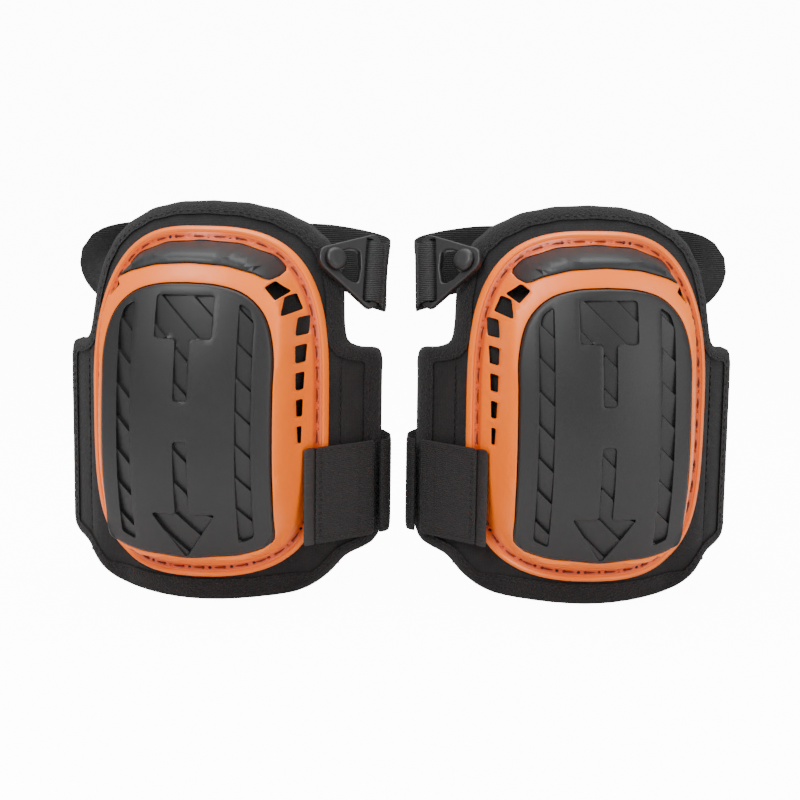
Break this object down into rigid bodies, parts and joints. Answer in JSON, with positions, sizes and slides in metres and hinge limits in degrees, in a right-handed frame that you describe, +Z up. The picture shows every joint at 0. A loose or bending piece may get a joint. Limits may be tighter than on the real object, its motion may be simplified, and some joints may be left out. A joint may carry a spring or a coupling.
{
  "type": "knee pads",
  "caption": "Strap-on knee pads: rubber tread cap in a moulded shell on a padded winged liner, clip-on thigh strap and hook-and-loop calf strap.",
  "frame": {"origin": "middle of the pair's box, on the surface that the pads stand on", "axes": "+Z up as worn, the fronts face -Y, +X runs from the wearer's right pad to the other one"},
  "size_m": [0.4028, 0.1526, 0.23],
  "materials": {
    "fabric": "woven nylon",
    "binding": "brushed knit tape",
    "lining": "soft mesh",
    "foam": "matt EVA foam",
    "gel": "soft gel",
    "hook_loop": "hook and loop pile",
    "orange_shell": "satin moulded",
    "tread_rubber": "matt moulded rubber",
    "gloss_panel": "satin gloss",
    "black_plastic": "fine grained",
    "thread": "bonded thread",
    "elastic": "ribbed elastic"
  },
  "bodies": {
    "left_pad": {"left_brow_panel": "gloss_panel", "left_calf_anchor": "elastic", "left_calf_strap": "elastic", "left_edge_binding": "binding", "left_gel_pad": "gel", "left_inner_shell": "black_plastic", "left_knee_cushion": "foam", "left_knee_lining": "lining", "left_liner_body": "fabric", "left_loop_patch": "hook_loop", "left_outer_shell": "orange_shell", "left_rim_thread": "thread", "left_shock_foam": "foam", "left_stud_base": "black_plastic", "left_thigh_anchor": "elastic", "left_thigh_strap": "elastic", "left_tread_cap": "tread_rubber"},
    "left_stud": {"left_clip_stud": "black_plastic"},
    "left_clip": {"left_strap_clip": "black_plastic"},
    "left_tab": {"left_strap_tab": "elastic", "left_tab_grip": "tread_rubber", "left_hook_patch": "hook_loop"},
    "left_slider": {"left_strap_slider": "black_plastic"},
    "right_pad": {"right_brow_panel": "gloss_panel", "right_calf_anchor": "elastic", "right_calf_strap": "elastic", "right_edge_binding": "binding", "right_gel_pad": "gel", "right_inner_shell": "black_plastic", "right_knee_cushion": "foam", "right_knee_lining": "lining", "right_liner_body": "fabric", "right_loop_patch": "hook_loop", "right_outer_shell": "orange_shell", "right_rim_thread": "thread", "right_shock_foam": "foam", "right_stud_base": "black_plastic", "right_thigh_anchor": "elastic", "right_thigh_strap": "elastic", "right_tread_cap": "tread_rubber"},
    "right_stud": {"right_clip_stud": "black_plastic"},
    "right_clip": {"right_strap_clip": "black_plastic"},
    "right_tab": {"right_strap_tab": "elastic", "right_tab_grip": "tread_rubber", "right_hook_patch": "hook_loop"},
    "right_slider": {"right_strap_slider": "black_plastic"}
  },
  "joints": [
    {"name": "pads_apart", "type": "slide", "parent": "left_pad", "child": "right_pad", "axis": [1, 0, 0], "range_m": [0, 0.15]},
    {"name": "left_stud_swivel", "type": "hinge", "parent": "left_pad", "child": "left_stud", "pos_m": [-0.04363, -0.00525, 0.194], "axis": [0.555, -0.7499, 0.3599], "range_deg": [-12, 12]},
    {"name": "left_clip_unhook", "type": "slide", "parent": "left_stud", "child": "left_clip", "axis": [-0.8307, -0.4769, 0.2872], "range_m": [0, 0.009]},
    {"name": "left_tab_peel", "type": "hinge", "parent": "left_pad", "child": "left_tab", "pos_m": [-0.00984, -0.00266, 0.06], "axis": [0, 0, 1], "range_deg": [0, 75]},
    {"name": "left_strap_adjust", "type": "slide", "parent": "left_pad", "child": "left_slider", "axis": [0.9877, -0.1564, 0], "range_m": [-0.012, 0.012]},
    {"name": "right_stud_swivel", "type": "hinge", "parent": "right_pad", "child": "right_stud", "pos_m": [0.04196, -0.00142, 0.194], "axis": [-0.5935, -0.7199, 0.3599], "range_deg": [-12, 12]},
    {"name": "right_clip_unhook", "type": "slide", "parent": "right_stud", "child": "right_clip", "axis": [0.8046, -0.5197, 0.2872], "range_m": [0, 0.009]},
    {"name": "right_tab_peel", "type": "hinge", "parent": "right_pad", "child": "right_tab", "pos_m": [0.00836, 0.00294, 0.06], "axis": [0, 0, -1], "range_deg": [0, 75]},
    {"name": "right_strap_adjust", "type": "slide", "parent": "right_pad", "child": "right_slider", "axis": [-0.9945, -0.1045, 0], "range_m": [-0.012, 0.012]}
  ]
}
